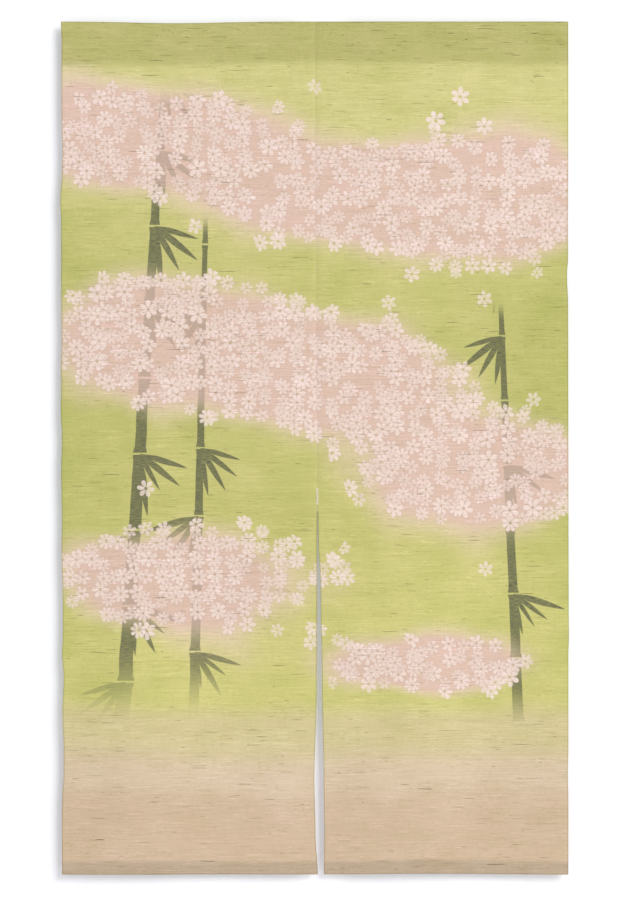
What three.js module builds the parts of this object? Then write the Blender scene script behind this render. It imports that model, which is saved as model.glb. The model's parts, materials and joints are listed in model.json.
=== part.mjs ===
// A noren: a split door curtain of slubby hemp cloth, made of two loom widths that are sewn side by side
// for the upper part and hang free on each side of a slit below it. The top of each width is folded to
// the back and stitched down as a rod pocket, and the bottom is turned up as a hem.
// Millimetres, +Z up, the printed front faces -Y, and the origin is the middle of the top fold.
import * as THREE from "three";

// Driving dimensions
const WIDTH = 880; // finished width of the two loom widths together
const DROP = 1482; // finished height, from the top fold to the foot of the hem
const CLOTH = 1.2; // thickness of one ply
const POCKET = 70; // height of the rod pocket, from the top fold to the foot of its stitching
const POCKET_SLACK = 8.5; // how far the slack back ply of the empty pocket stands off the front ply
const STITCH_BAND = 3; // height over which the pocket's two plies are sewn together
const HEM = 22; // height of the turned-up hem
const HEM_PLIES = 2; // plies of cloth in the hem
const HEM_STEP = 4; // height over which the hem's extra ply ends
const SEW_GAP = 0.3; // clearance between pieces that are sewn to each other
const SLIT_TOP = 822; // drop at which the seam ends and the slit begins

// Fineness of the faceted cloth
const PANEL_COLUMNS = 12;
const PANEL_ROWS = 44;
const POCKET_COLUMNS = 8;
const POCKET_CURVE_STEPS = 10;

// How far each edge strays from its straight line, to the right, at a number of drops. left and right are
// the outer edges and seam is the line that the two widths share.
const EDGES = [
  { drop: 0, left: 0.0, seam: 1.0, right: 1.2 },
  { drop: 36, left: 1.2, seam: 1.2, right: 1.1 },
  { drop: 119, left: 1.0, seam: 1.6, right: 1.2 },
  { drop: 182, left: 1.4, seam: 2.0, right: 1.1 },
  { drop: 223, left: 2.6, seam: 2.2, right: 1.1 },
  { drop: 265, left: 1.8, seam: 2.4, right: 1.2 },
  { drop: 307, left: -1.1, seam: 2.6, right: 0.9 },
  { drop: 348, left: 0.4, seam: 2.9, right: 0.5 },
  { drop: 411, left: 0.7, seam: 3.2, right: 0.9 },
  { drop: 440, left: 0.4, seam: 3.3, right: -0.9 },
  { drop: 494, left: 0.7, seam: 3.6, right: 0.9 },
  { drop: 557, left: 1.4, seam: 3.9, right: 1.2 },
  { drop: 599, left: -0.1, seam: 4.2, right: 1.1 },
  { drop: 640, left: 0.6, seam: 4.4, right: 1.2 },
  { drop: 671, left: -0.3, seam: 4.6, right: 1.3 },
  { drop: 724, left: 1.9, seam: 4.8, right: 1.3 },
  { drop: 786, left: 0.4, seam: 5.1, right: 1.4 },
  { drop: SLIT_TOP, left: 1.2, seam: 5.3, right: 1.4 },
  { drop: 870, left: 2.0, seam: 5.3, right: 1.5 },
  { drop: 922, left: 1.2, seam: 5.3, right: 1.6 },
  { drop: 1016, left: 3.4, seam: 5.3, right: 1.7 },
  { drop: 1070, left: 3.5, seam: 5.3, right: 2.1 },
  { drop: 1099, left: 2.2, seam: 5.3, right: 1.2 },
  { drop: 1141, left: 5.0, seam: 5.3, right: 1.2 },
  { drop: 1203, left: 2.8, seam: 5.3, right: 1.2 },
  { drop: 1266, left: 5.0, seam: 5.3, right: 1.2 },
  { drop: 1307, left: 5.0, seam: 5.3, right: 0.2 },
  { drop: 1349, left: 2.7, seam: 5.3, right: 1.1 },
  { drop: 1370, left: 2.0, seam: 5.3, right: 1.2 },
  { drop: DROP, left: 2.1, seam: 5.3, right: 1.2 },
];

// How far the slit's two edges draw back from the seam line, each to its own side.
const SLIT = [
  { drop: SLIT_TOP, leftBack: 0.0, rightBack: 0.0 },
  { drop: 901, leftBack: 0.3, rightBack: 1.8 },
  { drop: 988, leftBack: 0.5, rightBack: 5.8 },
  { drop: 1161, leftBack: 1.0, rightBack: 8.4 },
  { drop: 1318, leftBack: 5.0, rightBack: 11.2 },
  { drop: 1413, leftBack: 3.0, rightBack: 12.2 },
  { drop: DROP, leftBack: -0.9, rightBack: 11.3 },
];

// Soft upright folds: where each lies across the curtain, how far it stands back (+) or forward (-) at the
// foot, its half width, and the drop at which it starts to show.
const FOLDS = [
  { at: -440, depth: -1.5, reach: 42, from: 850 },
  { at: -318, depth: -5.5, reach: 84, from: 240 },
  { at: -165, depth: 4.0, reach: 78, from: 330 },
  { at: -2, depth: 1.2, reach: 36, from: SLIT_TOP },
  { at: 24, depth: 1.0, reach: 38, from: SLIT_TOP },
  { at: 138, depth: -5.0, reach: 88, from: 300 },
  { at: 292, depth: 4.5, reach: 80, from: 210 },
  { at: 440, depth: -3.5, reach: 60, from: 480 },
];
const HEM_STIFFENING = 0.45; // share of a fold's depth that is left at the foot, where the hem holds it flat
const HEM_HOLD = 170; // height above the foot over which the hem holds the folds flatter

// Where the top fold dips and the foot is drawn up a little.
const TOP_DIP = { at: -240, height: 3.0, reach: 105, fadesBy: 420 };
const FOOT_LIFT = { at: 190, height: 1.6, reach: 105, startsAt: 1180 };

const clothColour = new THREE.Color(0.6, 0.56, 0.22);

const ease = (t) => THREE.MathUtils.smoothstep(t, 0, 1);
const lerp = THREE.MathUtils.lerp;
const hump = (distance, reach) => Math.exp(-((distance / reach) ** 2));

// The value of a column of one of the tables at a drop, eased from row to row.
function tableAt(table, column, drop) {
  const last = table.length - 1;
  if (drop <= table[0].drop) return table[0][column];
  if (drop >= table[last].drop) return table[last][column];
  const next = table.findIndex((row) => row.drop > drop);
  const above = table[next - 1];
  const below = table[next];
  const share = ease((drop - above.drop) / (below.drop - above.drop));
  return lerp(above[column], below[column], share);
}

// How far the cloth's middle stands back from the plane of the top fold.
function foldDepth(x, drop) {
  const hold = ease((drop - (DROP - HEM_HOLD)) / HEM_HOLD);
  const stiffness = lerp(1, HEM_STIFFENING, hold);
  let depth = 0;
  for (const fold of FOLDS) {
    const growth = ease((drop - fold.from) / (DROP - fold.from));
    depth += fold.depth * growth * hump(x - fold.at, fold.reach);
  }
  return depth * stiffness;
}

// The height of a point of the cloth, with the dip of the top fold and the lift of the foot.
function heightAt(x, drop) {
  const dip = TOP_DIP.height * hump(x - TOP_DIP.at, TOP_DIP.reach) * (1 - ease(drop / TOP_DIP.fadesBy));
  const lowered = ease((drop - FOOT_LIFT.startsAt) / (DROP - FOOT_LIFT.startsAt));
  const lift = FOOT_LIFT.height * hump(x - FOOT_LIFT.at, FOOT_LIFT.reach) * lowered;
  return -drop - dip + lift;
}

// The two upright edges of one loom width at a drop.
const leftWidth = {
  from: (drop) => -WIDTH / 2 + tableAt(EDGES, "left", drop),
  to: (drop) => tableAt(EDGES, "seam", drop) - SEW_GAP / 2 - tableAt(SLIT, "leftBack", drop),
};
const rightWidth = {
  from: (drop) => tableAt(EDGES, "seam", drop) + SEW_GAP / 2 + tableAt(SLIT, "rightBack", drop),
  to: (drop) => WIDTH / 2 + tableAt(EDGES, "right", drop),
};

// Moves every vertex of a geometry to the place that a function gives for it.
function reshape(geometry, place) {
  const points = geometry.getAttribute("position");
  const point = new THREE.Vector3();
  for (let i = 0; i < points.count; i++) {
    point.fromBufferAttribute(points, i);
    points.setXYZ(i, ...place(point));
  }
  geometry.deleteAttribute("uv");
  geometry.computeVertexNormals();
  return geometry;
}

// The drop of a row of a panel: even rows down to the hem, then the hem's own two rows.
function rowDrop(row) {
  const evenRows = PANEL_ROWS - 2;
  if (row > evenRows) return DROP - HEM * (PANEL_ROWS - row);
  return lerp(POCKET + SEW_GAP, DROP - HEM - HEM_STEP, row / evenRows);
}

// One loom width from under the rod pocket to its foot, thicker at the back where the hem is turned up.
function panelGeometry(width) {
  const sheet = new THREE.BoxGeometry(1, 1, 1, PANEL_COLUMNS, 1, PANEL_ROWS);
  return reshape(sheet, ({ x: across, y: side, z: up }) => {
    const row = Math.round((0.5 - up) * PANEL_ROWS);
    const drop = rowDrop(row);
    const x = lerp(width.from(drop), width.to(drop), across + 0.5);
    const hemPlies = side > 0 && row >= PANEL_ROWS - 1 ? HEM_PLIES - 1 : 0;
    const y = foldDepth(x, drop) + side * CLOTH + hemPlies * CLOTH;
    return [x, y, heightAt(x, drop)];
  });
}

// The rod pocket's section, x to the back and y up: a flat front ply and a slack back ply, open between them.
function pocketSection() {
  const skin = CLOTH / 2;
  const openTop = -CLOTH;
  const openFoot = -(POCKET - STITCH_BAND);
  const opening = new THREE.Path();
  opening.moveTo(skin, openTop);
  opening.lineTo(skin, openFoot);
  const outline = new THREE.Shape();
  outline.moveTo(-skin, -POCKET);
  outline.lineTo(skin + CLOTH, -POCKET);
  for (let step = 1; step < POCKET_CURVE_STEPS; step++) {
    const share = step / POCKET_CURVE_STEPS;
    const slack = POCKET_SLACK * Math.sin(Math.PI * share) ** 0.8;
    const height = lerp(openFoot, openTop, share);
    opening.lineTo(skin + slack, height);
    outline.lineTo(skin + slack + CLOTH, height);
  }
  outline.lineTo(skin + CLOTH, openTop);
  outline.lineTo(skin, -CLOTH / 4);
  outline.lineTo(0, 0);
  outline.lineTo(-skin, -CLOTH / 2);
  outline.holes.push(opening);
  return outline;
}

// The part of the rod pocket that one loom width makes, open at both ends.
function pocketGeometry(width) {
  const tunnel = new THREE.ExtrudeGeometry(pocketSection(), {
    depth: 1,
    steps: POCKET_COLUMNS,
    bevelEnabled: false,
  });
  return reshape(tunnel, ({ x: back, y: up, z: across }) => {
    const drop = -up;
    const x = lerp(width.from(drop), width.to(drop), across);
    return [x, foldDepth(x, drop) + back, heightAt(x, drop)];
  });
}

function clothMesh(name, geometry) {
  const cloth = new THREE.MeshStandardMaterial({ color: clothColour, roughness: 0.9, metalness: 0 });
  const mesh = new THREE.Mesh(geometry, cloth);
  mesh.name = name;
  return mesh;
}

// One loom width: its panel and the part of the rod pocket that is folded over from it.
function loomWidth(side, width) {
  const cloth = new THREE.Group();
  cloth.add(clothMesh(`heading_${side}`, pocketGeometry(width)));
  cloth.add(clothMesh(`panel_${side}`, panelGeometry(width)));
  return cloth;
}

const noren = new THREE.Group();
noren.add(loomWidth("left", leftWidth), loomWidth("right", rightWidth));

export default noren;
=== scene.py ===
"""A noren: a split door curtain of slubby printed hemp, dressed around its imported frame.

Metres, +Z up, the printed face looks to -Y, and the origin is the middle of the top fold.
"""

import functools
import json
import math

import bpy
import numpy as np
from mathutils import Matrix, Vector, noise

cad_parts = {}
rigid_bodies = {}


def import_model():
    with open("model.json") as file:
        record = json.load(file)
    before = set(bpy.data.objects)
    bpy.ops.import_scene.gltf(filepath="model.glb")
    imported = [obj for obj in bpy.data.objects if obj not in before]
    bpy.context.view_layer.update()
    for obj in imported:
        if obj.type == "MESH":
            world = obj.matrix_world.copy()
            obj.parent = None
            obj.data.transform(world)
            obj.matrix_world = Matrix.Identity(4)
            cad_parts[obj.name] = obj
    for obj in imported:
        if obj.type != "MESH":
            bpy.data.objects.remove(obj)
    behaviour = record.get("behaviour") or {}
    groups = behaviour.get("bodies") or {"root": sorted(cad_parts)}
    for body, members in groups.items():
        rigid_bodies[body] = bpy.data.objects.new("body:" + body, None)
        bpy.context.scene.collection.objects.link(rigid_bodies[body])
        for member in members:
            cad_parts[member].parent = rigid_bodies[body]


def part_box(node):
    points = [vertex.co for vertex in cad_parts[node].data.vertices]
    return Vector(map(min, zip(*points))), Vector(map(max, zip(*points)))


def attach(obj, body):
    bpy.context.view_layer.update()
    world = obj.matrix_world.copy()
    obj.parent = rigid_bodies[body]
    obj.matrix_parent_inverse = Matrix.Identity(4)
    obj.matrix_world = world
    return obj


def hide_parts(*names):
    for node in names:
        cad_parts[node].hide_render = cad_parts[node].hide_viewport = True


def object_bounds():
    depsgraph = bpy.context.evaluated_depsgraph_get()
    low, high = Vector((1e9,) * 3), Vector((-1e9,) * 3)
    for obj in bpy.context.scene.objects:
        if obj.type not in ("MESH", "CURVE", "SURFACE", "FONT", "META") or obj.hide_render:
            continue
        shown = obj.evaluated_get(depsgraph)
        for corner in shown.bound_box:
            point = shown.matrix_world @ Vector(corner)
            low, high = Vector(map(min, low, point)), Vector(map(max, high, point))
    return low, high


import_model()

bl_info = {
    "name": "Noren Curtain",
    "version": (1, 0, 0),
    "blender": (4, 5, 0),
    "location": "View3D > Sidebar > Noren",
    "description": "Builds a split door curtain of slubby printed hemp around its packed frame",
    "category": "Object",
}

CAD_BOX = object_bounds()
MM = 0.001

# The curtain's finished sizes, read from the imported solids
LEFT_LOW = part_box("panel_left")[0]
HEAD_LOW, HEAD_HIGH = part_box("heading_right")
DROP = -LEFT_LOW.z
POCKET = HEAD_HIGH.z - HEAD_LOW.z

# Sizes that the boxes don't give. The head of the slit is a drop in millimetres, as the tables are
LOOM_WIDTH = 440 * MM
SLIT_HEAD = 822
SLIT_TOP = SLIT_HEAD * MM

# How strongly the print shows on the face of the cloth and through to its reverse
FACE_PRINT = 1.0
REVERSE_PRINT = 0.62

# How far each upright edge strays from its straight line, in millimetres to the right, by drop
EDGE_COLUMNS = ("drop", "left", "seam", "right")
EDGES = (
    (0, 0.0, 1.0, 1.2),
    (36, 1.2, 1.2, 1.1),
    (119, 1.0, 1.6, 1.2),
    (182, 1.4, 2.0, 1.1),
    (223, 2.6, 2.2, 1.1),
    (265, 1.8, 2.4, 1.2),
    (307, -1.1, 2.6, 0.9),
    (348, 0.4, 2.9, 0.5),
    (411, 0.7, 3.2, 0.9),
    (440, 0.4, 3.3, -0.9),
    (494, 0.7, 3.6, 0.9),
    (557, 1.4, 3.9, 1.2),
    (599, -0.1, 4.2, 1.1),
    (640, 0.6, 4.4, 1.2),
    (671, -0.3, 4.6, 1.3),
    (724, 1.9, 4.8, 1.3),
    (786, 0.4, 5.1, 1.4),
    (SLIT_HEAD, 1.2, 5.3, 1.4),
    (870, 2.0, 5.3, 1.5),
    (922, 1.2, 5.3, 1.6),
    (1016, 3.4, 5.3, 1.7),
    (1070, 3.5, 5.3, 2.1),
    (1099, 2.2, 5.3, 1.2),
    (1141, 5.0, 5.3, 1.2),
    (1203, 2.8, 5.3, 1.2),
    (1266, 5.0, 5.3, 1.2),
    (1307, 5.0, 5.3, 0.2),
    (1349, 2.7, 5.3, 1.1),
    (1370, 2.0, 5.3, 1.2),
    (1482, 2.1, 5.3, 1.2),
)

# How far the slit's two edges draw back from the seam line, in millimetres, by drop
SLIT_COLUMNS = ("drop", "left_back", "right_back")
SLIT = (
    (SLIT_HEAD, 0.0, 0.0),
    (901, 0.3, 1.8),
    (988, 0.5, 5.8),
    (1161, 1.0, 8.4),
    (1318, 5.0, 11.2),
    (1413, 3.0, 12.2),
    (1482, -0.9, 11.3),
)

# Soft upright folds of the hang, in millimetres: depth is to the back at the foot, reach a half width
FOLD_COLUMNS = ("at", "depth", "reach", "begins")
FOLDS = (
    (-440, -1.5, 42, 850),
    (-318, -5.5, 84, 240),
    (-165, 4.0, 78, 330),
    (-2, 1.2, 36, SLIT_HEAD),
    (24, 1.0, 38, SLIT_HEAD),
    (138, -5.0, 88, 300),
    (292, 4.5, 80, 210),
    (440, -3.5, 60, 480),
)

# The hem leaves this share of a fold's depth at the foot, and holds the folds flatter over this height
HEM_STIFFENING = 0.45
HEM_HOLD = 170

# Where the top fold dips and the foot is drawn up a little, in millimetres
TOP_DIP = {"at": -240, "height": 3.0, "reach": 105, "fades_by": 420}
FOOT_LIFT = {"at": 190, "height": 1.6, "reach": 105, "starts_at": 1180}

# Creases from folding and handling, in millimetres: centre, tilt from level, half length, half width, depth
CREASE_COLUMNS = ("across", "drop", "tilt", "half_length", "reach", "depth")
CREASES = (
    (-300, 671, 0.6, 170, 7, 0.9),
    (-345, 776, -0.4, 120, 8, 0.7),
    (-330, 314, 0.8, 130, 9, -0.5),
    (-290, 428, -0.5, 150, 8, 0.5),
    (-350, 512, 0.4, 100, 7, -0.4),
    (-260, 1047, 0.9, 160, 9, 0.5),
    (250, 297, -0.5, 180, 8, 0.6),
    (215, 413, 0.4, 200, 8, 0.7),
    (260, 700, 0.7, 150, 9, -0.5),
    (190, 1010, -0.8, 140, 8, 0.5),
    (300, 1240, 0.5, 130, 9, -0.5),
    (-411, 640, 89.4, 560, 6, 0.5),
    (-318, 560, 90.3, 420, 6, -0.4),
    (-172, 700, 90.5, 460, 7, 0.4),
    (118, 560, 89.5, 430, 7, 0.4),
    (330, 820, 90.4, 520, 7, -0.4),
)

# Waves of the small unevenness, in millimetres: length across, length down, layer of the noise
GATHER_WAVE = (13.0, 60.0, 3.1)
BROAD_COCKLE = (85.0, 62.0, 0.0)
SMALL_COCKLE = (24.0, 19.0, 5.0)
SMALL_COCKLE_SHARE = 0.35

# How far the gathers reach from each line of stitches, in millimetres, and the waves along the seam
POCKET_GATHER = 15
HEM_GATHER = 13
SEAM_GATHER = 14
SEAM_SINK_REACH = 4.5
SEAM_WAVE = 12.0
SEAM_WAVE_LAYER = (7.7, 0.4)

# Where the seam begins to ease above the head of the slit, and over what height, in millimetres
SEAM_EASES_ABOVE = 20
SEAM_EASES_OVER = 30

# The upright edges' ripple, in millimetres: height, length and layer of the noise
EDGE_RIPPLE = 0.35
EDGE_RIPPLE_LENGTH = 9.0
EDGE_RIPPLE_LAYER = 1.0

# The pocket's back ply, whose raw edge stops short of the pocket's foot, and the rows of each turn
RAW_EDGE = 1.5
SLACK_FULLNESS = 0.8
TURN_STEPS = 8
RIM_ANGLE = math.radians(50)


def named(columns, rows):
    """A table's rows as dictionaries by column."""
    return [dict(zip(columns, row)) for row in rows]


def ease(share):
    """Smooth step of a share that is held between 0 and 1."""
    share = np.clip(share, 0.0, 1.0)
    return share * share * (3.0 - 2.0 * share)


def hump(distance, reach):
    """A bell of height 1 with the given half width."""
    return np.exp(-((distance / reach) ** 2))


def waved(x, drop, wave):
    """Noise at each place of a row, for the given wave."""
    across, down, layer = wave
    return np.array([noise.noise(Vector((place / across, drop / down, layer))) for place in x])


def table_at(columns, rows, column, drop):
    """The value of a table's column at a drop in millimetres, eased from row to row."""
    drops = [row[0] for row in rows]
    values = [row[columns.index(column)] for row in rows]
    if drop <= drops[0]:
        return values[0]
    if drop >= drops[-1]:
        return values[-1]
    below = next(i for i, d in enumerate(drops) if d > drop)
    share = ease((drop - drops[below - 1]) / (drops[below] - drops[below - 1]))
    return values[below - 1] + (values[below] - values[below - 1]) * float(share)


# The hang of the cloth


class Hang:
    """Where the middle of the front ply lies, in millimetres, for a place across and a drop."""

    def __init__(self, sizes):
        self.sizes = sizes
        self.folds = named(FOLD_COLUMNS, FOLDS)
        self.creases = named(CREASE_COLUMNS, CREASES)
        self.drop = DROP / MM
        self.pocket = POCKET / MM
        self.slit_top = SLIT_TOP / MM

    def seam(self, drop):
        """Where the line that the two widths share lies at a drop."""
        return table_at(EDGE_COLUMNS, EDGES, "seam", drop)

    def edges(self, side, drop):
        """The two upright edges of a loom width at a drop."""
        half = LOOM_WIDTH / MM
        gap = self.sizes.seam_gap / MM / 2
        if side == "left":
            outer = -half + table_at(EDGE_COLUMNS, EDGES, "left", drop)
            return outer, self.seam(drop) - gap - table_at(SLIT_COLUMNS, SLIT, "left_back", drop)
        outer = half + table_at(EDGE_COLUMNS, EDGES, "right", drop)
        return self.seam(drop) + gap + table_at(SLIT_COLUMNS, SLIT, "right_back", drop), outer

    def folded(self, x, drop):
        """Depth of the main upright folds, as in the solids."""
        hold = ease((drop - (self.drop - HEM_HOLD)) / HEM_HOLD)
        depth = np.zeros_like(x)
        for fold in self.folds:
            growth = ease((drop - fold["begins"]) / (self.drop - fold["begins"]))
            depth += fold["depth"] * growth * hump(x - fold["at"], fold["reach"])
        return depth * (1.0 - (1.0 - HEM_STIFFENING) * hold)

    def creased(self, x, drop):
        """Depth of the listed creases."""
        depth = np.zeros_like(x)
        for crease in self.creases:
            tilt = math.radians(crease["tilt"])
            right = x - crease["across"]
            down = drop - crease["drop"]
            along = right * math.cos(tilt) + down * math.sin(tilt)
            beside = down * math.cos(tilt) - right * math.sin(tilt)
            fade = 1.0 - ease(np.abs(along) / crease["half_length"])
            depth += crease["depth"] * fade * hump(beside, crease["reach"])
        return depth

    def puckered(self, x, drop):
        """Small gathers along the stitch lines and the sunken centre seam."""
        sewn = 1.0 - float(ease((drop - self.slit_top + SEAM_EASES_ABOVE) / SEAM_EASES_OVER))
        from_seam = x - self.seam(drop)
        depth = self.sizes.seam_sink / MM * sewn * hump(from_seam, SEAM_SINK_REACH)
        near_pocket = hump(drop - self.pocket, POCKET_GATHER)
        near_hem = hump(drop - (self.drop - self.sizes.hem / MM), HEM_GATHER)
        gather = self.sizes.gather / MM
        seam_wave = noise.noise(Vector((drop / SEAM_WAVE, *SEAM_WAVE_LAYER)))
        depth += gather * waved(x, drop, GATHER_WAVE) * (near_pocket + near_hem)
        depth += gather * seam_wave * sewn * hump(from_seam, SEAM_GATHER)
        return depth

    def cockled(self, x, drop):
        """The slight unevenness of hand-washed hemp."""
        size = self.sizes.cockle / MM
        small = SMALL_COCKLE_SHARE * size * waved(x, drop, SMALL_COCKLE)
        return size * waved(x, drop, BROAD_COCKLE) + small

    def depth(self, x, drop):
        """How far back the middle of the front ply lies."""
        parts = (self.folded, self.creased, self.puckered, self.cockled)
        return sum(part(x, drop) for part in parts)

    def height(self, x, drop):
        """Height of a point, with the dip of the top fold and the lift of the foot."""
        dip = TOP_DIP["height"] * hump(x - TOP_DIP["at"], TOP_DIP["reach"])
        dip *= 1.0 - ease(drop / TOP_DIP["fades_by"])
        lowered = ease((drop - FOOT_LIFT["starts_at"]) / (self.drop - FOOT_LIFT["starts_at"]))
        lift = FOOT_LIFT["height"] * hump(x - FOOT_LIFT["at"], FOOT_LIFT["reach"]) * lowered
        return -drop - dip + lift

    def point(self, x, drop, back):
        """A point in metres that lies back millimetres behind the middle of the front ply."""
        places = np.array([float(x)])
        depth = self.depth(places, drop)[0] + back
        return x * MM, depth * MM, self.height(places, drop)[0] * MM


def cloth_rows(sizes):
    """The cloth's length, from the pocket's back ply over the top fold and down to the hem's turn-up.

    Each row is its drop, its offset to the back and its place on the flat cloth, in millimetres.
    """
    step = sizes.mesh_step / MM
    ply = sizes.ply / MM
    pocket, drop = POCKET / MM, DROP / MM
    top_radius = sizes.top_fold / MM
    foot_radius = sizes.foot_fold / MM
    shoulder = top_radius + ply / 2
    ankle = drop - foot_radius - ply / 2
    rows = []
    back_steps = round(pocket / step)
    for i in range(back_steps):
        share = i / back_steps
        level = pocket - RAW_EDGE + (shoulder - pocket + RAW_EDGE) * share
        slack = sizes.pocket_slack / MM * math.sin(math.pi * share) ** SLACK_FULLNESS
        rows.append((level, 2 * top_radius + slack, level))
    for i in range(TURN_STEPS + 1):
        turn = math.pi * i / TURN_STEPS
        back = top_radius * (1 + math.cos(turn))
        level = shoulder - top_radius * math.sin(turn)
        rows.append((level, back, top_radius * (math.pi / 2 - turn)))
    front_steps = round((ankle - shoulder) / step)
    for i in range(1, front_steps + 1):
        level = shoulder + (ankle - shoulder) * i / front_steps
        rows.append((level, 0.0, -level))
    for i in range(1, TURN_STEPS + 1):
        turn = math.pi * i / TURN_STEPS
        back = foot_radius * (1 - math.cos(turn))
        level = ankle + foot_radius * math.sin(turn)
        rows.append((level, back, -ankle - foot_radius * turn))
    hem = sizes.hem / MM
    hem_steps = round(hem / step)
    for i in range(1, hem_steps + 1):
        rise = hem * i / hem_steps
        rows.append((ankle - rise, 2 * foot_radius, -drop - rise))
    return rows


def loom_width_mesh(name, side, hang):
    """One loom width as a closed sheet: printed face, reverse and rim, with the flat cloth as its map."""
    sizes = hang.sizes
    rows = cloth_rows(sizes)
    columns = round(LOOM_WIDTH / sizes.mesh_step)
    shares = np.linspace(0.0, 1.0, columns + 1)
    middle = np.zeros((len(rows), columns + 1, 3))
    flat = np.zeros((len(rows), columns + 1, 2))
    flat_left = -LOOM_WIDTH if side == "left" else 0.0
    for r, (drop, back, along) in enumerate(rows):
        low, high = hang.edges(side, drop)
        ripple = noise.noise(Vector((drop / EDGE_RIPPLE_LENGTH, low, EDGE_RIPPLE_LAYER)))
        stray = EDGE_RIPPLE * ripple
        x = low + stray + (high - low - stray) * shares
        middle[r, :, 0] = x
        middle[r, :, 1] = hang.depth(x, drop) + back
        middle[r, :, 2] = hang.height(x, drop)
        flat[r, :, 0] = flat_left + LOOM_WIDTH * shares
        flat[r, :, 1] = along * MM
    middle *= MM
    down = np.gradient(middle, axis=0)
    across = np.gradient(middle, axis=1)
    normal = np.cross(across, down)
    normal /= np.linalg.norm(normal, axis=2, keepdims=True)
    half = sizes.ply / 2
    face = (middle - normal * half).reshape(-1, 3)
    reverse = (middle + normal * half).reshape(-1, 3)
    mesh = closed_sheet(name, face, reverse, flat.reshape(-1, 2), len(rows), columns + 1)
    strength = np.full(2 * len(face), FACE_PRINT, dtype=np.float32)
    strength[len(face):] = REVERSE_PRINT
    mesh.attributes.new("print_strength", "FLOAT", "POINT").data.foreach_set("value", strength)
    return mesh


def closed_sheet(name, face, reverse, flat, row_count, column_count):
    """A mesh of two like grids of points joined round their border, with a map named cloth."""
    index = np.arange(row_count * column_count).reshape(row_count, column_count)
    corners = (index[:-1, :-1], index[1:, :-1], index[1:, 1:], index[:-1, 1:])
    quads = np.stack([c.ravel() for c in corners], axis=1)
    border = np.concatenate((index[0, :-1], index[:-1, -1], index[-1, :0:-1], index[:0:-1, 0]))
    after = np.roll(border, -1)
    other = len(face)
    rim = np.stack((border, after, after + other, border + other), axis=1)
    faces = np.concatenate((quads[:, ::-1], quads + other, rim))
    mesh = bpy.data.meshes.new(name)
    mesh.from_pydata(np.concatenate((face, reverse)).tolist(), [], faces.tolist())
    layer = mesh.uv_layers.new(name="cloth")
    corner_vertex = np.empty(len(mesh.loops), dtype=np.int32)
    mesh.loops.foreach_get("vertex_index", corner_vertex)
    layer.data.foreach_set("uv", flat[corner_vertex % other].ravel())
    mesh.polygons.foreach_set("use_smooth", np.ones(len(faces), dtype=bool))
    mesh.set_sharp_from_angle(angle=RIM_ANGLE)
    mesh.validate()
    return mesh


# Node writing


class Wire:
    """A node's output. Sums and products of wires add Math nodes to its tree."""

    def __init__(self, socket):
        self.socket = socket
        self.tree = socket.id_data

    @classmethod
    def make(cls, tree, kind, settings=None, inputs=None, output=0):
        """Adds a node, sets it up, feeds its inputs with values or wires and gives one of its outputs."""
        node = tree.nodes.new(kind)
        for key, value in (settings or {}).items():
            setattr(node, key, value)
        for key, value in (inputs or {}).items():
            if isinstance(value, Wire):
                tree.links.new(value.socket, node.inputs[key])
            else:
                node.inputs[key].default_value = value
        return cls(node.outputs[output])

    def out(self, name):
        """Another output of the same node."""
        return Wire(self.socket.node.outputs[name])

    def maths(self, operation, *others, first=()):
        """A Math node on this value and others, which follow it or come first."""
        values = dict(enumerate((*first, self, *others)))
        return Wire.make(self.tree, "ShaderNodeMath", {"operation": operation}, values)

    def __add__(self, other):
        return self.maths("ADD", other)

    __radd__ = __add__

    def __sub__(self, other):
        return self.maths("SUBTRACT", other)

    def __rsub__(self, other):
        return self.maths("SUBTRACT", first=(other,))

    def __mul__(self, other):
        return self.maths("MULTIPLY", other)

    __rmul__ = __mul__

    def __truediv__(self, other):
        return self.maths("DIVIDE", other)

    def __pow__(self, power):
        return self.maths("POWER", power)

    def __rpow__(self, base):
        return self.maths("POWER", first=(base,))

    def __abs__(self):
        return self.maths("ABSOLUTE")

    def floor(self):
        """The whole number below."""
        return self.maths("FLOOR")

    def fraction(self):
        """What is left above the whole number below."""
        return self.maths("FRACT")

    def most(self, other):
        """The greater of two values."""
        return self.maths("MAXIMUM", other)

    def least(self, other):
        """The smaller of two values."""
        return self.maths("MINIMUM", other)

    def above(self, limit):
        """1 above a limit, else 0."""
        return self.maths("GREATER_THAN", limit)

    def under(self, limit):
        """1 under a limit, else 0."""
        return self.maths("LESS_THAN", limit)

    def step(self, low, high):
        """A smooth step from 0 at low to 1 at high, either way round."""
        rising = {"Value": self, "From Min": low, "From Max": high}
        return Wire.make(self.tree, "ShaderNodeMapRange", {"interpolation_type": "SMOOTHSTEP"}, rising)

    def vector(self, other, third=0.0):
        """A vector of this value and others."""
        return Wire.make(self.tree, "ShaderNodeCombineXYZ", None, {0: self, 1: other, 2: third})

    def along_y(self):
        """A vector of this value along Y."""
        return Wire.make(self.tree, "ShaderNodeCombineXYZ", None, {1: self})

    def vector_maths(self, operation, *others, output="Vector"):
        """A Vector Math node on this vector and others."""
        values = dict(enumerate((self, *others)))
        return Wire.make(self.tree, "ShaderNodeVectorMath", {"operation": operation}, values, output)

    def parts(self):
        """The three values of a vector or colour."""
        split = Wire.make(self.tree, "ShaderNodeSeparateXYZ", None, {0: self})
        return split, split.out("Y"), split.out("Z")


def opaque(colour):
    """A plain colour with its full alpha, or a wire as it is."""
    return colour if isinstance(colour, Wire) else (*colour, 1.0)


def blend(low, high, factor, mode="MIX"):
    """Two colours mixed by a factor."""
    tree = next(w.tree for w in (low, high, factor) if isinstance(w, Wire))
    settings = {"data_type": "RGBA", "blend_type": mode, "clamp_factor": True}
    values = {0: factor, 6: opaque(low), 7: opaque(high)}
    return Wire.make(tree, "ShaderNodeMix", settings, values, output=2)


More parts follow.
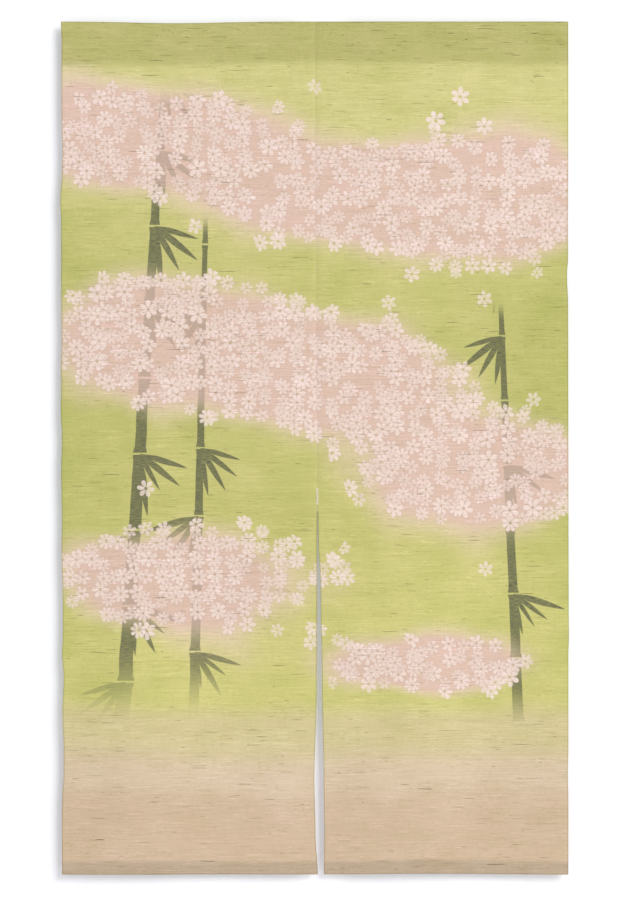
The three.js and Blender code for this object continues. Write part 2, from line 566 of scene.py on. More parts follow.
def tinted(colour, amount, shares):
    """A colour made lighter by an amount, with its own share in each of red, green and blue."""
    factor = amount.vector(amount, amount).vector_maths("MULTIPLY_ADD", shares, (1.0, 1.0, 1.0))
    return blend(colour, factor, 1.0, "MULTIPLY")


def speckle(place, detail=2.0, roughness=0.5):
    """Two-dimensional noise about 0."""
    settings = {"noise_dimensions": "2D"}
    values = {"Vector": place, "Scale": 1.0, "Detail": detail, "Roughness": roughness}
    return Wire.make(place.tree, "ShaderNodeTexNoise", settings, values) - 0.5


def chance(place):
    """An even random value for each whole place."""
    return Wire.make(place.tree, "ShaderNodeTexWhiteNoise", {"noise_dimensions": "2D"}, {"Vector": place})


def attribute(tree, name):
    """A value that the mesh carries."""
    return Wire.make(tree, "ShaderNodeAttribute", {"attribute_name": name}, output="Fac")


def new_material(name, constants):
    """A material and its shader, with what is the same all over set on the shader's own sockets."""
    material = bpy.data.materials.new(name)
    material.use_nodes = True
    shader = material.node_tree.nodes["Principled BSDF"]
    for key, value in constants.items():
        shader.inputs[key].default_value = value
    return material, shader


def feed(shader, wires):
    """Links wires to a shader's sockets."""
    for key, wire in wires.items():
        wire.tree.links.new(wire.socket, shader.inputs[key])


# The print: drifts of mist, daisies and bamboo

# Drifts of pink mist, in metres: middle and half sizes
MIST_COLUMNS = ("across", "drop", "half_length", "half_height")
MIST = (
    (-0.300, 0.200, 0.270, 0.092),
    (0.030, 0.300, 0.200, 0.074),
    (0.320, 0.315, 0.230, 0.122),
    (-0.270, 0.545, 0.250, 0.118),
    (0.040, 0.610, 0.230, 0.092),
    (0.310, 0.775, 0.250, 0.104),
    (-0.220, 0.965, 0.280, 0.098),
    (0.190, 1.115, 0.210, 0.052),
)
MIST_EDGE = (0.24, 0.68)
MIST_CORE = (0.55, 1.0)
MIST_STRAY = 0.9

# Bamboo stalks, in metres: place, drop and half width at the head and the foot, joint spacing, leaf length
STALK_COLUMNS = (
    "head", "head_drop", "head_width", "foot", "foot_drop", "foot_width", "joint", "leaf", "shift"
)
STALKS = (
    (-0.262, 0.110, 0.0060, -0.338, 1.230, 0.0130, 0.132, 0.112, 0.31),
    (-0.190, 0.330, 0.0042, -0.214, 1.215, 0.0090, 0.118, 0.100, 0.72),
    (0.322, 0.480, 0.0044, 0.352, 1.240, 0.0100, 0.112, 0.098, 0.15),
)
STALK_EDGE = (-0.0006, 0.0010)
STALK_HEAD = (0.0, 0.05)
STALK_FOOT = (1.0, 0.86)
JOINT_FLARE = 0.22
JOINT_FLARE_REACH = (0.10, 0.02)
JOINT_GAP = (0.008, 0.020)

# The fan of leaves at a joint. Ends are shares of a leaf's length, and the edge is in metres
LEAVES = 4
LEAF_SPREAD = math.radians(21)
LEAFY_JOINTS = 0.68
LEAFY_SEED = 3.0
LEAF_SHORTEST = 0.66
LEAF_BREADTH = 0.185
LEAF_FULLNESS = 0.8
LEAF_ROOT_SWELL = 1.25
LEAF_TAPER = 0.5
LEAF_EDGE = (-0.0004, 0.0009)
LEAF_TIP = (1.0, 0.98)

# Share of the places that hold a daisy, in the mist, round it and loose, and where each kind ends
CROWDED = 0.72
CROWDED_MIST = (0.10, 0.95)
ROUND_MIST = 0.08
MIST_RIM = (0.0, 0.30)
LOOSE = 0.045
LOOSE_IN_MIST = 0.20
LOOSE_FOOT = (-1.30, -1.12)
LOOSE_HEAD = (-0.05, -0.13)

# A daisy: least and added shares of its size and strength, its petals' form, ends by share of its radius
DAISY_SIZE = (0.82, 0.36)
DAISY_STRENGTH = (0.62, 0.38)
PETAL_BREADTH = 0.93
PETAL_FULLNESS = 0.62
PETAL_EDGE = (-0.0004, 0.0006)
PETAL_ROOT = (0.13, 0.22)
PETAL_TIP = (1.0, 0.96)
LINE_EDGE = (-0.0020, -0.0004)
LINE_END = (1.16, 1.04)
EYE_EDGE = (0.15, 0.07)

# How fully each colour of the print covers, and how far the mist hides the bamboo
COVER = {"mist": 0.95, "bamboo": 0.86, "petal_line": 0.75, "petal": 0.92, "eye": 0.55}
MIST_HIDES = 0.62

# How fully the weave takes the print
PRINT_TAKE = 0.93
PRINT_SHARES = {"fine_weft": 0.9, "weft": 0.3}


def mist(flat, stray=0.0):
    """Thickness of the pink mist, from 0 to 1."""
    thickness = stray
    for drift in named(MIST_COLUMNS, MIST):
        scale = (1.0 / drift["half_length"], 1.0 / drift["half_height"], 0.0)
        shift = (-drift["across"] * scale[0], drift["drop"] * scale[1], 0.0)
        away = flat.vector_maths("MULTIPLY_ADD", scale, shift)
        thickness = math.exp(-1) ** away.vector_maths("DOT_PRODUCT", away, output="Value") + thickness
    return thickness.step(*MIST_EDGE)


def in_drifts(thick, _):
    """Daisies crowd the mist and thin out round it."""
    return thick.step(*CROWDED_MIST) * CROWDED + thick.step(*MIST_RIM) * ROUND_MIST


def strewn(thick, centre):
    """Loose daisies between the drifts, none at the heading or the foot."""
    v = centre.parts()[1]
    return (LOOSE + LOOSE_IN_MIST * thick) * v.step(*LOOSE_FOOT) * v.step(*LOOSE_HEAD)


# Scatterings of daisies, in metres: taper is how bluntly a petal ends
DAISY_COLUMNS = ("spacing", "petals", "taper", "size", "offset", "looseness", "density")
DAISIES = (
    (0.0285, 6, 3.0, 0.0138, (0.013, 0.007), 0.70, in_drifts),
    (0.0305, 8, 4.0, 0.0138, (0.341, 0.219), 0.74, in_drifts),
    (0.0420, 6, 3.0, 0.0150, (0.127, 0.453), 0.75, strewn),
)


def daisies(flat, spacing, petals, taper, size, offset, looseness, density):
    """One scattering of daisies: the cover of their petals, of the line round them and of their eyes."""
    offset = (*offset, 0.0)
    settings = {"voronoi_dimensions": "2D", "feature": "F1"}
    values = {
        "Vector": flat.vector_maths("ADD", offset),
        "Scale": 1.0 / spacing,
        "Randomness": looseness,
    }
    cells = Wire.make(flat.tree, "ShaderNodeTexVoronoi", settings, values)
    centre = cells.out("Position").vector_maths("SUBTRACT", offset)
    away = flat.vector_maths("SUBTRACT", centre)
    right, up, _ = away.parts()
    lot, swell, turn = cells.out("Color").parts()
    present = (density(mist(centre), centre) - lot).above(0.0)
    radius = away.vector_maths("LENGTH", output="Value")
    share = radius / (size * (DAISY_SIZE[0] + DAISY_SIZE[1] * swell))
    angle = (up.maths("ARCTAN2", right) / (2 * math.pi) + turn) * petals
    from_middle = 1.0 - 2.0 * angle.maths("PINGPONG", 0.5)
    breadth = PETAL_BREADTH * (1.0 - share ** taper).most(0.0) ** PETAL_FULLNESS
    inside = (breadth - from_middle) * radius * (math.pi / petals)
    faintness = present * (DAISY_STRENGTH[0] + DAISY_STRENGTH[1] * swell)
    petal = inside.step(*PETAL_EDGE) * share.step(*PETAL_ROOT) * share.step(*PETAL_TIP) * faintness
    line = inside.step(*LINE_EDGE) * share.step(*LINE_END) * faintness
    eye = share.step(*EYE_EDGE) * faintness
    return petal, line, eye


def bamboo(u, v, row):
    """Cover of one bamboo stalk, with a gap and here and there a fan of leaves at its joints."""
    down = (v + row["head_drop"]) / (row["head_drop"] - row["foot_drop"])
    beside = u - (row["head"] + (row["foot"] - row["head"]) * down)
    joints = row["shift"] - v / row["joint"]
    near_joint = joints.maths("PINGPONG", 0.5)
    width = row["head_width"] + (row["foot_width"] - row["head_width"]) * down
    flare = 1.0 + JOINT_FLARE * near_joint.step(*JOINT_FLARE_REACH)
    body = (width * flare - abs(beside)).step(*STALK_EDGE) * near_joint.step(*JOINT_GAP)
    ends = down.step(*STALK_HEAD) * down.step(*STALK_FOOT)
    return body.most(leaf_fan(beside, joints, row)) * ends


def leaf_fan(beside, joints, row):
    """Cover of the leaves that hang below each leafy joint, to one side or the other."""
    joint = joints.floor()
    below = joints.fraction() * row["joint"]
    side = chance(joint.vector(row["shift"])).above(0.5) * 2.0 - 1.0
    leafy = chance(joint.vector(row["shift"] + LEAFY_SEED)).under(LEAFY_JOINTS)
    outward = beside * side
    radius = (outward * outward + below * below).maths("SQRT")
    angle = outward.maths("ARCTAN2", below) / LEAF_SPREAD
    leaf = angle.floor()
    fanned = angle.above(0.0) * angle.under(LEAVES)
    lot = chance(leaf.vector(joint + row["shift"]))
    length = row["leaf"] * (LEAF_SHORTEST + (1.0 - LEAF_SHORTEST) * lot)
    share = radius / length
    swell = (share * (1.0 - share)).most(0.0) ** LEAF_FULLNESS * (LEAF_ROOT_SWELL - LEAF_TAPER * share)
    arc = abs(angle - leaf - 0.5) * radius * LEAF_SPREAD
    blade = (length * LEAF_BREADTH * swell - arc).step(*LEAF_EDGE)
    return blade * fanned * leafy * share.step(*LEAF_TIP)


# The cloth's finish, and the painted shade along its folds and edges

# How much red, green and blue change where the dye or the yarn is thinner, and in the painted shade along
# folds and edges
DYE_SHARES = (1.0, 0.7, 1.7)
FOOT_SHARES = (0.75, 1.0, 1.5)
GRAIN_SHARES = (1.0, 1.0, 1.6)
EVEN_SHARES = (1.0, 1.0, 1.0)

# Noise along the picks and over the whole cloth: waves in a metre across and down, detail, roughness
PICK_NOISE = {
    "weft": (24.0, 440.0, 3.0, 0.6),
    "long_weft": (6.0, 390.0, 2.0, 0.6),
    "fine_weft": (105.0, 900.0, 2.0, 0.5),
    "bars": (3.0, 46.0, 2.0, 0.5),
}
CLOTH_NOISE = {
    "warp": (620.0, 26.0, 2.0, 0.55),
    "cloud": (3.2, 2.6, 2.0, 0.5),
    "mottle": (12.0, 15.0, 2.0, 0.55),
    "clump": (14.0, 48.0, 2.0, 0.55),
}

# The picks' bow in the loom, and the spacing of picks and ends in the plain weave, in metres
BOW_NOISE = (5.0, 3.0, 1.0, 0.5)
BOW_DEPTH = 0.007
PICK_SPACING = 0.00115
END_SPACING = 0.00105

# Shares of the weave in the grain of the colour and in the relief
PICK_GRAIN = {"weft": 0.30, "long_weft": 0.16, "fine_weft": 0.22}
CLOTH_GRAIN = {"warp": 0.09, "bars": 0.09, "cloud": 0.10}
RELIEF = {"weft": 0.5, "fine_weft": 0.25, "warp": 0.12, "plain": 0.08}
CLUMPING = 2.4
HEMP_BUMP = {"Strength": 0.55, "Distance": 0.0006}
HEMP_ROUGHNESS = 0.90
WEFT_GLOSS = 0.10
HEMP_SURFACE = {"Specular IOR Level": 0.22, "Sheen Weight": 0.06, "Sheen Roughness": 0.6}

# Where the dye deepens, pales and fades to the bare foot, and where the cloth is darker towards the outer
# sides, in metres on the flat cloth, and by how much
DYE_DEEPENS = (-0.06, -0.62)
DYE_PALES = (-0.70, -1.10)
SIDES_ACROSS = (0.24, LOOM_WIDTH)
SIDES_BEGIN = (-0.05, -0.45)
SIDES_END = (-1.25, -0.90)
SIDES_DARKENING = 0.08
DYE_MOTTLE = 0.26
FADE_STRAY = 0.035
FADE_HIGH = (-1.172, -1.222)
FADE_LOW = (-1.240, -1.312)
FOOT_DEEPENS = (-1.318, -1.372)
FOOT_MOTTLE = 0.15

# The soft limits of the doubled cloth, in metres up from the pocket's foot and the hem's top
DOUBLED_STRAY = 0.012
POCKET_LIMIT = (-0.011, 0.007)
HEM_LIMIT = (0.005, -0.006)

# The painted shade, a darker line along folds and edges: its reach in metres, its amount, its start below
# the slit's head
RIM_SHADE_REACH = (0.0018, 0.0006)
RIM_PAINTED_SHADE = 0.38
RIM_SHADE_AT_SLIT = 0.03

# Sewing thread: waves of its twist in a metre, where its colour changes with the ground, and its shading
TWIST = (1400.0, 900.0, 1100.0)
THREAD_FADE = (-1.160, -1.322)
THREAD_SHADE = 0.5
THREAD_BUMP = {"Strength": 0.5, "Distance": 0.0002}
THREAD_SURFACE = {"Roughness": 0.78, "Sheen Weight": 0.1}


def uneven(u, v, across, down, detail, roughness):
    """Noise about 0 with the given waves in a metre."""
    return speckle((u * across).vector(v * down), detail, roughness)


def weave_of(u, v):
    """What varies over the weave, by name, for the colour, roughness and relief of the hemp."""
    drift = v + uneven(u, v, *BOW_NOISE) * BOW_DEPTH
    weave = {name: uneven(u, drift, *waves) for name, waves in PICK_NOISE.items()}
    weave.update({name: uneven(u, v, *waves) for name, waves in CLOTH_NOISE.items()})
    pick = (drift * (2 * math.pi / PICK_SPACING)).maths("SINE")
    end = (u * (2 * math.pi / END_SPACING)).maths("SINE")
    weave["plain"] = pick * end
    return weave


def summed(weave, shares):
    """The given shares of the weave, added up."""
    first, *others = [share * weave[name] for name, share in shares.items()]
    return sum(others, first)


def doubled(colour, v, weave, colours, hem):
    """Deepens the colour where the cloth lies double: the rod pocket and the hem."""
    stray = v + weave["cloud"] * DOUBLED_STRAY
    pocket = stray.step(*(limit - POCKET for limit in POCKET_LIMIT))
    turned = stray.step(*(limit + hem - DROP for limit in HEM_LIMIT))
    for cover, deepening in ((pocket, colours.doubled_pocket), (turned, colours.doubled_hem)):
        deeper = blend(colour, deepening, 1.0, "MULTIPLY")
        colour = blend(colour, deeper, cover)
    return colour


def dyed_ground(u, v, weave, colours):
    """The ground: dyed in one colour that deepens to the middle, a little darker towards the outer sides,
    over a bare foot.
    """
    ground = blend(colours.ground_high, colours.ground, v.step(*DYE_DEEPENS))
    ground = blend(ground, colours.ground_low, v.step(*DYE_PALES))
    outward = abs(u).step(*SIDES_ACROSS) * v.step(*SIDES_BEGIN) * v.step(*SIDES_END)
    # The colour is made darker towards the outer sides of each width
    ground = tinted(ground, DYE_MOTTLE * weave["mottle"] - SIDES_DARKENING * outward, DYE_SHARES)
    dipped = v + weave["cloud"] * FADE_STRAY
    foot = blend(colours.foot_high, colours.foot, dipped.step(*FOOT_DEEPENS))
    foot = tinted(foot, FOOT_MOTTLE * weave["mottle"], FOOT_SHARES)
    fade = 0.5 * dipped.step(*FADE_HIGH) + 0.5 * dipped.step(*FADE_LOW)
    return blend(ground, foot, fade)


def printed_colour(flat, weave, colours, strength, shift):
    """The dyed ground with its print, as the bare weave takes it."""
    u, v, _ = flat.parts()
    ground = dyed_ground(u, v, weave, colours)
    v = v + u.above(0.0) * shift
    flat = u.vector(v)
    haze = mist(flat, weave["cloud"] * MIST_STRAY)
    mist_colour = blend(colours.mist, colours.mist_core, haze.step(*MIST_CORE))
    colour = blend(ground, mist_colour, haze * strength * COVER["mist"])
    shows = strength * (PRINT_TAKE + summed(weave, PRINT_SHARES))
    grove = functools.reduce(Wire.most, [bamboo(u, v, row) for row in named(STALK_COLUMNS, STALKS)])
    covers = grove * (1.0 - MIST_HIDES * haze) * shows * COVER["bamboo"]
    colour = blend(colour, colours.bamboo, covers)
    for scatter in named(DAISY_COLUMNS, DAISIES):
        petal, line, eye = daisies(flat, **scatter)
        colour = blend(colour, colours.petal_line, line * haze * shows * COVER["petal_line"])
        colour = blend(colour, colours.petal, petal * shows * COVER["petal"])
        colour = blend(colour, colours.eye, eye * shows * COVER["eye"])
    return colour


def rim(u, v):
    """Where the painted shade falls: 1 along the top fold, the foot, the outer edges and the slit, and 0
    away from them.
    """
    slit_edge = abs(u) + v.step(-SLIT_TOP - RIM_SHADE_AT_SLIT, -SLIT_TOP)
    away = abs(v).least(abs(v + DROP)).least(LOOM_WIDTH - abs(u)).least(slit_edge)
    return away.step(*RIM_SHADE_REACH)


def hemp(name, colours, sizes):
    """Slubby printed hemp, read from the flat cloth's map and its strength of print."""
    material, shader = new_material(name, HEMP_SURFACE)
    tree = material.node_tree
    flat = Wire.make(tree, "ShaderNodeUVMap", {"uv_map": "cloth"})
    u, v, _ = flat.parts()
    weave = weave_of(u, v)
    strength = attribute(tree, "print_strength")
    slub = attribute(tree, "slub_tone")
    colour = printed_colour(flat, weave, colours, strength, sizes.print_shift)
    clumped = summed(weave, PICK_GRAIN) * (1.0 + CLUMPING * weave["clump"])
    grain = clumped + summed(weave, CLOTH_GRAIN) + slub.most(0.0)
    colour = tinted(colour, grain, GRAIN_SHARES)
    colour = blend(colour, colours.slub, (slub * -1.0).most(0.0))
    # Painted shade: the colour is darkened in a thin line along the folds and edges
    colour = tinted(colour, rim(u, v) * -RIM_PAINTED_SHADE, GRAIN_SHARES)
    colour = doubled(colour, v, weave, colours, sizes.hem)
    bump = Wire.make(tree, "ShaderNodeBump", None, {**HEMP_BUMP, "Height": summed(weave, RELIEF)})
    rough = HEMP_ROUGHNESS - WEFT_GLOSS * weave["weft"]
    feed(shader, {"Base Color": colour, "Roughness": rough, "Normal": bump})
    return material


def thread(name, high, low):
    """Twisted sewing thread, one colour on the dyed ground and another at the foot."""
    material, shader = new_material(name, THREAD_SURFACE)
    tree = material.node_tree
    x, _, z = Wire.make(tree, "ShaderNodeTexCoord", output="Object").parts()
    ply = speckle((x * TWIST[0] + z * TWIST[1]).vector(z * TWIST[2]), 1.0)
    colour = blend(high, low, z.step(*THREAD_FADE))
    colour = tinted(colour, THREAD_SHADE * ply, EVEN_SHARES)
    bump = Wire.make(tree, "ShaderNodeBump", None, {**THREAD_BUMP, "Height": ply})
    feed(shader, {"Base Color": colour, "Normal": bump})
    return material


# What repeats over the cloth: slubs of its yarn and its stitches

# Slubs: how they vary, how dark and pale they are, and the rays that bed them, with lengths in metres
SLUB_FACING = 0.6
SLUB_RARITY = 5.0
SLUB_STOUTNESS = (0.6, 1.25)
SLUB_TILT = 0.02
SLUB_MARGIN = 0.004
PALE_TONE = 0.30
DARK_TONE = 0.20
DARK_BY_CHANCE = 0.62
DARK_BY_LENGTH = 0.18
DARK_RARITY = 2.0
RAY_START = 0.02
RAY_REACH = 0.06
SLUB_SEED = 7
SLUB_SEED_STEP = 20

# The faces of the small tapered rod that stands for a slub or a stitch
SPINDLE = {"Segments": 5, "Rings": 4, "Radius": 0.5}


def open_tree(name, sockets):
    """A Geometry Nodes tree with inputs of the given kinds, and a wire from each of them by its label."""
    tree = bpy.data.node_groups.new(name, "GeometryNodeTree")
    for label, kind in sockets.items():
        tree.interface.new_socket(label, in_out="INPUT", socket_type=f"NodeSocket{kind}")
    tree.interface.new_socket("Result", in_out="OUTPUT", socket_type="NodeSocketGeometry")
    entry = tree.nodes.new("NodeGroupInput")
    return tree, {label: Wire(entry.outputs[label]) for label in sockets}


def close_tree(tree, result, material):
    """Ends a tree in smooth faces of one material."""
    smooth = Wire.make(tree, "GeometryNodeSetShadeSmooth", None, {"Geometry": result})
    values = {"Geometry": smooth, "Material": material}
    dressed = Wire.make(tree, "GeometryNodeSetMaterial", None, values)
    tree.links.new(dressed.socket, tree.nodes.new("NodeGroupOutput").inputs[0])


def random_value(tree, low, high, seed):
    """A random number for each element."""
    values = {2: low, 3: high, 8: seed}
    return Wire.make(tree, "FunctionNodeRandomValue", {"data_type": "FLOAT"}, values, output=1)


def spindle(tree):
    """A small tapered rod of unit size along X."""
    ball = Wire.make(tree, "GeometryNodeMeshUVSphere", None, SPINDLE)
    values = {"Geometry": ball, "Rotation": (0.0, math.radians(90), 0.0)}
    return Wire.make(tree, "GeometryNodeTransform", None, values)


def named_value(tree, kind, name):
    """A value that the geometry carries under a name."""
    settings = {"data_type": kind}
    return Wire.make(tree, "GeometryNodeInputNamedAttribute", settings, {"Name": name})


def with_value(geometry, name, value, kind="FLOAT", domain="POINT"):
    """Geometry that carries a value under a name."""
    settings = {"data_type": kind, "domain": domain}
    values = {"Geometry": geometry, "Name": name, "Value": value}
    return Wire.make(geometry.tree, "GeometryNodeStoreNamedAttribute", settings, values)


def slub_tree():
    """Thick places of weft yarn strewn level over one side of a cloth, bedded on it and dyed as it is."""
    tree, given = open_tree("slub_yarns", {
        "Cloth": "Geometry", "Facing": "Float", "Density": "Float", "Shortest": "Float",
        "Longest": "Float", "Thickness": "Float", "Height": "Float", "Dark Share": "Float",
        "Print Strength": "Float", "Seed": "Int", "Material": "Material",
    })
    cloth, facing, seed = given["Cloth"], given["Facing"], given["Seed"]
    faces_out = Wire.make(tree, "GeometryNodeInputNormal").parts()[1] * facing
    values = {
        "Mesh": cloth,
        "Selection": faces_out.above(SLUB_FACING),
        "Density": given["Density"],
        "Seed": seed,
    }
    points = Wire.make(tree, "GeometryNodeDistributePointsOnFaces", None, values)
    run = random_value(tree, 0.0, 1.0, seed + 1.0) ** SLUB_RARITY
    length = given["Shortest"] + (given["Longest"] - given["Shortest"]) * run
    flat_u = named_value(tree, "FLOAT_VECTOR", "cloth").parts()[0]
    from_edge = LOOM_WIDTH / 2 - abs(abs(flat_u) - LOOM_WIDTH / 2)
    stout = given["Thickness"] * random_value(tree, *SLUB_STOUTNESS, seed + 2.0)
    tilt = random_value(tree, -SLUB_TILT, SLUB_TILT, seed + 3.0)
    values = {
        "Points": points,
        "Selection": (from_edge - length * 0.5).above(SLUB_MARGIN),
        "Instance": spindle(tree),
        "Rotation": tilt.along_y(),
        "Scale": length.vector(given["Height"], stout),
    }
    yarns = Wire.make(tree, "GeometryNodeInstanceOnPoints", None, values)
    dark = random_value(tree, 0.0, 1.0, seed + 4.0).under(given["Dark Share"])
    lot = random_value(tree, 0.0, 1.0, seed + 5.0) ** DARK_RARITY
    depth = DARK_TONE + DARK_BY_CHANCE * lot + DARK_BY_LENGTH * run
    tone = PALE_TONE - dark * (depth + PALE_TONE)
    yarns = with_value(yarns, "slub_tone", tone, domain="INSTANCE")
    x, y, z = Wire.make(tree, "GeometryNodeInputPosition").parts()
    yarns = with_value(yarns, "root_y", y, domain="INSTANCE")
    real = Wire.make(tree, "GeometryNodeRealizeInstances", None, {"Geometry": yarns})
    values = {
        "Target Geometry": cloth,
        "Source Position": x.vector(y + facing * RAY_START, z),
        "Ray Direction": (facing * -1.0).along_y(),
        "Ray Length": RAY_REACH,
    }
    bed = Wire.make(tree, "GeometryNodeRaycast", None, values, output="Hit Position")
    level = bed.parts()[1] + y - named_value(tree, "FLOAT", "root_y")
    values = {"Geometry": real, "Selection": bed.out("Is Hit"), "Position": x.vector(level, z)}
    bedded = Wire.make(tree, "GeometryNodeSetPosition", None, values)
    settings = {"data_type": "FLOAT_VECTOR"}
    values = {"Mesh": cloth, "Value": named_value(tree, "FLOAT_VECTOR", "cloth")}
    flat = Wire.make(tree, "GeometryNodeSampleNearestSurface", settings, values)
    mapped = with_value(bedded, "cloth", flat, "FLOAT2", "CORNER")
    close_tree(tree, with_value(mapped, "print_strength", given["Print Strength"]), given["Material"])
    return tree


def stitch_tree():
    """Stitches laid end to end along a path, each turned from it by a slant in the plane of the cloth."""
    tree, given = open_tree("stitching", {
        "Path": "Geometry", "Pitch": "Float", "Length": "Float", "Thread": "Float",
        "Slant": "Float", "Unevenness": "Float", "Seed": "Int", "Material": "Material",
    })
    uneven_by, seed = given["Unevenness"], given["Seed"]
    path = Wire.make(tree, "GeometryNodeMeshToCurve", None, {"Mesh": given["Path"]})
    values = {"Curve": path, "Length": given["Pitch"]}
    points = Wire.make(tree, "GeometryNodeCurveToPoints", {"mode": "LENGTH"}, values)
    values = {"Vector": points.out("Tangent")}
    along = Wire.make(tree, "FunctionNodeAlignRotationToVector", {"axis": "X"}, values)
    turn = given["Slant"] + uneven_by * random_value(tree, -1.0, 1.0, seed)
    values = {"Rotation": along, "Rotate By": turn.along_y()}
    laid = Wire.make(tree, "FunctionNodeRotateRotation", {"rotation_space": "GLOBAL"}, values)
    long = given["Length"] * (1.0 + uneven_by * random_value(tree, -1.0, 1.0, seed + 1.0))
    values = {
        "Points": points,
        "Instance": spindle(tree),
        "Rotation": laid,
        "Scale": long.vector(given["Thread"], given["Thread"]),
    }
    stitches = Wire.make(tree, "GeometryNodeInstanceOnPoints", None, values)
    real = Wire.make(tree, "GeometryNodeRealizeInstances", None, {"Geometry": stitches})
    close_tree(tree, real, given["Material"])
    return tree


def grown(name, host_mesh, tree, values):
    """The plain mesh that a tree makes from a host mesh with the given inputs."""
    host = bpy.data.objects.new(name, host_mesh)
    bpy.context.scene.collection.objects.link(host)
    modifier = host.modifiers.new(name, "NODES")
    modifier.node_group = tree
    for item in tree.interface.items_tree:
        if item.in_out == "INPUT" and item.name in values:
            modifier[item.identifier] = values[item.name]
    depsgraph = bpy.context.evaluated_depsgraph_get()
    made = host.evaluated_get(depsgraph)
    mesh = bpy.data.meshes.new_from_object(made, preserve_all_data_layers=True, depsgraph=depsgraph)
    bpy.data.objects.remove(host)
    mesh.name = name
    if not mesh.polygons:
        raise RuntimeError(f"{name} came out empty")
    return mesh


def path_mesh(name, lines):
    """A mesh of edges that runs along each of the given lines of points."""
    points = [point for line in lines for point in line]
    edges = []
    start = 0
    for line in lines:
        edges += [(start + i, start + i + 1) for i in range(len(line) - 1)]
        start += len(line)
    mesh = bpy.data.meshes.new(name)
    mesh.from_pydata(points, edges, [])
    return mesh


# Where the stitches run, in millimetres

# Spacing of a route's points, and how far the thread stands off the face, the back and under the tack
ROUTE_STEP = 3.0
TACK_STEP = 1.0
FACE_STAND = 0.05
BACK_STAND = 0.1
TACK_STAND = 0.15

# How far the rows keep from the upright edges, and lie above the pocket's foot and below the hem's top
ROW_STARTS = 4
ROW_ENDS = 3
POCKET_ROW_UP = 2.0
HEM_ROW_DOWN = 2.5
POCKET_EDGE_UP = 1.6
HEM_EDGE_UP = 0.6

# Where the seam and the tack begin and end, from the top, the pocket's foot or the head of the slit
POCKET_SEAM_FROM = 3.0
SEAM_BELOW_POCKET = 6
SEAM_ABOVE_SLIT = 12
TACK_ABOVE_SLIT = 11
TACK_BELOW_SLIT = 18


def across_widths(hang, drop, back):
    """Lines from edge to edge of both loom widths."""
    lines = []
    for side in ("left", "right"):
        low, high = hang.edges(side, drop)
        places = np.arange(low + ROW_STARTS, high - ROW_ENDS, ROUTE_STEP)
        lines.append([hang.point(x, drop, back) for x in places])
    return lines


def down_seam(hang, drops, back):
    """A line down the seam."""
    return [hang.point(hang.seam(drop), drop, back) for drop in drops]


def skin(hang):
    """Half a ply, in millimetres."""
    return hang.sizes.ply / MM / 2


def face_rows(hang):
    """Rows of the small stitches that come through to the face at the pocket and the hem."""
    face = -skin(hang) - FACE_STAND
    hem_top = hang.drop - hang.sizes.hem / MM
    pocket_row = across_widths(hang, hang.pocket - POCKET_ROW_UP, face)
    return pocket_row + across_widths(hang, hem_top + HEM_ROW_DOWN, face)


def raw_edge_rows(hang):
    """Rows of the long stitches over the raw edges at the back of the pocket and the hem."""
    back = skin(hang) + BACK_STAND
    sizes = hang.sizes
    hem_top = hang.drop - sizes.hem / MM
    pocket_row = across_widths(hang, hang.pocket - POCKET_EDGE_UP, 2 * sizes.top_fold / MM + back)
    return pocket_row + across_widths(hang, hem_top - HEM_EDGE_UP, 2 * sizes.foot_fold / MM + back)


def back_seam(hang):
    """The seam at the back, from under the pocket to the head of the slit."""
    drops = np.arange(hang.pocket + SEAM_BELOW_POCKET, hang.slit_top - SEAM_ABOVE_SLIT, ROUTE_STEP)
    return [down_seam(hang, drops, skin(hang) + BACK_STAND)]


def pocket_seam(hang):
    """The seam on the face of the pocket."""
    drops = np.arange(POCKET_SEAM_FROM, hang.pocket, ROUTE_STEP)
    return [down_seam(hang, drops, -skin(hang) - FACE_STAND)]


def slit_head(hang):
    """The short lines over the head of the slit, on the face and at the back."""
    stand = skin(hang) + TACK_STAND
    drops = np.arange(hang.slit_top - TACK_ABOVE_SLIT, hang.slit_top + TACK_BELOW_SLIT, TACK_STEP)
    return [down_seam(hang, drops, back) for back in (-stand, stand)]


# Stitches, in millimetres, with each slant from its row in radians
WHIPPED = math.radians(58)
LEVEL = math.radians(84)
LEANING = 0.35
STITCH_UNEVENNESS = 0.12
STITCH_COLUMNS = ("name", "route", "pitch", "length", "girth", "slant", "thread")
STITCHES = (
    ("prick_stitches", face_rows, 7.0, 1.6, 0.5, 0.0, "plain"),
    ("pocket_hem_stitches", raw_edge_rows, 7.0, 4.4, 0.5, LEANING, "plain"),
    ("seam_stitches", back_seam, 6.0, 4.6, 0.5, WHIPPED, "plain"),
    ("pocket_seam_stitches", pocket_seam, 3.8, 2.6, 0.6, 0.0, "plain"),
    ("slit_bar_tack", slit_head, 1.25, 4.0, 1.0, LEVEL, "tack"),
)


# Panel settings


def length_property(name, description, default):
    """A length that the panel shows."""
    return bpy.props.FloatProperty(
        name=name, description=description, default=default, unit="LENGTH", precision=5
    )


def colour_property(name, description, default):
    """A colour that the panel shows."""
    return bpy.props.FloatVectorProperty(
        name=name, description=description, default=default, subtype="COLOR", min=0.0, max=1.0
    )


